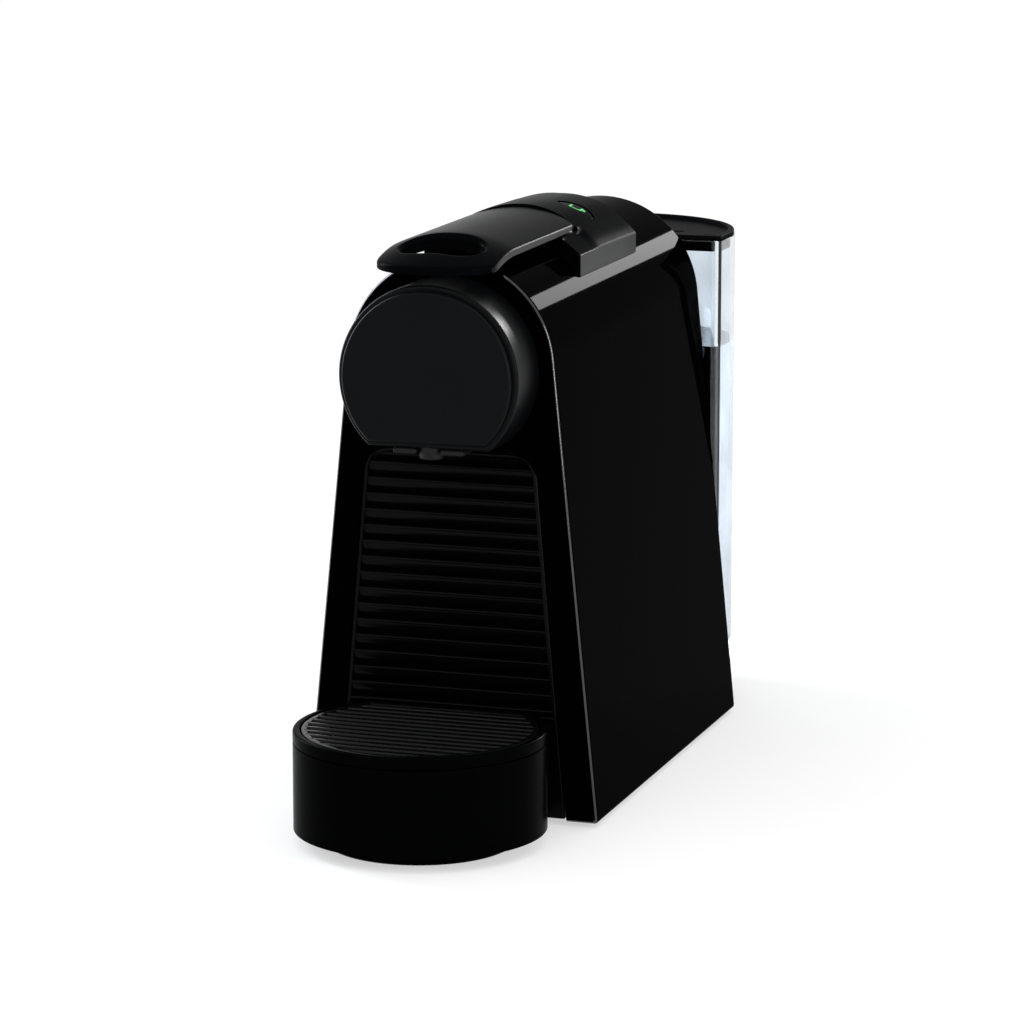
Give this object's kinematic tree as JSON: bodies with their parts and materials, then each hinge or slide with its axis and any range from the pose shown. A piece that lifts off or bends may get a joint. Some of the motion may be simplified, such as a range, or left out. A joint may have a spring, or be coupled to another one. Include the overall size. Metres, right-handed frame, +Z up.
{
  "type": "pod coffee machine",
  "caption": "Compact capsule coffee machine with an arched housing, clamping lever, pull-out drip unit and lift-off water tank.",
  "frame": {"origin": "centre of the footprint on the table", "axes": "+Z up, the brew head and drip tray face -Y, the water tank is at +Y"},
  "size_m": [0.1098, 0.3232, 0.2105],
  "materials": {
    "housing_gloss": "piano black, polished",
    "inner_black": "moulded matte black",
    "head_satin": "fine satin charcoal",
    "lever_satin": "satin black",
    "steel": "ground steel",
    "button_black": "gloss black with a lit cup glyph",
    "board_green": "circuit board",
    "grey_plastic": "light grey",
    "seal_rubber": "soft black",
    "pump_brass": "brass and varnished coil",
    "cast_aluminium": "as cast",
    "hose_silicone": "milky silicone",
    "tray_satin": "satin black",
    "grid_satin": "satin black bars",
    "rib_satin": "satin black ribs",
    "tank_clear": "clear moulded plastic",
    "lid_satin": "satin black"
  },
  "bodies": {
    "machine": {"housing": "housing_gloss", "rear_wall": "inner_black", "base_plate": "inner_black", "tank_shelf": "inner_black", "feet": "seal_rubber", "head_drum": "head_satin", "head_cap": "head_satin", "coffee_spout": "inner_black", "top_console": "lever_satin", "lever_pin": "steel", "control_board": "board_green", "button_switches": "grey_plastic", "brew_frame": "inner_black", "pierce_plate": "steel", "plate_seal": "seal_rubber", "pump": "pump_brass", "pump_mounts": "seal_rubber", "pump_bracket": "steel", "thermoblock": "cast_aluminium", "thermoblock_stand": "steel", "flow_meter": "grey_plastic", "suction_hose": "hose_silicone", "delivery_hose": "hose_silicone", "hot_hose": "hose_silicone", "power_board": "board_green", "tank_socket": "inner_black", "socket_floor": "inner_black", "socket_seal": "seal_rubber", "cord_inlet": "inner_black", "housing_screws": "steel"},
    "lever": {"lever": "lever_satin", "lever_cams": "steel"},
    "capsule_cage": {"capsule_cage": "inner_black", "cage_pin": "steel", "injector_needles": "steel"},
    "small_cup_button": {"small_cup_button": "button_black"},
    "large_cup_button": {"large_cup_button": "button_black"},
    "drip_unit": {"tray_base": "tray_satin", "drip_tray": "tray_satin", "drawer_front": "rib_satin", "drawer_floor": "inner_black", "capsule_bin": "inner_black", "bin_front": "rib_satin"},
    "drip_grid": {"drip_grid": "grid_satin"},
    "tank": {"tank": "tank_clear"},
    "tank_lid": {"tank_lid": "lid_satin"},
    "tank_valve": {"tank_valve": "grey_plastic", "valve_spring": "steel"}
  },
  "joints": [
    {"name": "lever_hinge", "type": "hinge", "parent": "machine", "child": "lever", "pos_m": [0, -0.0136, 0.2005], "axis": [-1, 0, 0], "range_deg": [0, 85]},
    {"name": "cage_slide", "type": "slide", "parent": "machine", "child": "capsule_cage", "axis": [0, 1, 0], "range_m": [0, 0.0301]},
    {"name": "small_cup_press", "type": "slide", "parent": "machine", "child": "small_cup_button", "axis": [0, 0, -1], "range_m": [0, 0.0012], "stiffness_N_per_m": 900},
    {"name": "large_cup_press", "type": "slide", "parent": "machine", "child": "large_cup_button", "axis": [0, 0, -1], "range_m": [0, 0.0012], "stiffness_N_per_m": 900},
    {"name": "drip_unit_slide", "type": "slide", "parent": "machine", "child": "drip_unit", "axis": [0, -1, 0], "range_m": [0, 0.1]},
    {"name": "grid_lift", "type": "slide", "parent": "drip_unit", "child": "drip_grid", "axis": [0, 0, 1], "range_m": [0, 0.06]},
    {"name": "tank_lift", "type": "slide", "parent": "machine", "child": "tank", "axis": [0, 0, 1], "range_m": [0, 0.06]},
    {"name": "lid_lift", "type": "slide", "parent": "tank", "child": "tank_lid", "axis": [0, 0, 1], "range_m": [0, 0.03]},
    {"name": "valve_travel", "type": "slide", "parent": "tank", "child": "tank_valve", "axis": [0, 0, 1], "range_m": [0, 0.002], "stiffness_N_per_m": 300, "deforming": ["valve_spring"]}
  ],
  "couplings": [
    {"joint": "cage_slide", "follows": "lever_hinge", "m_per_rad": 0.020222}
  ]
}
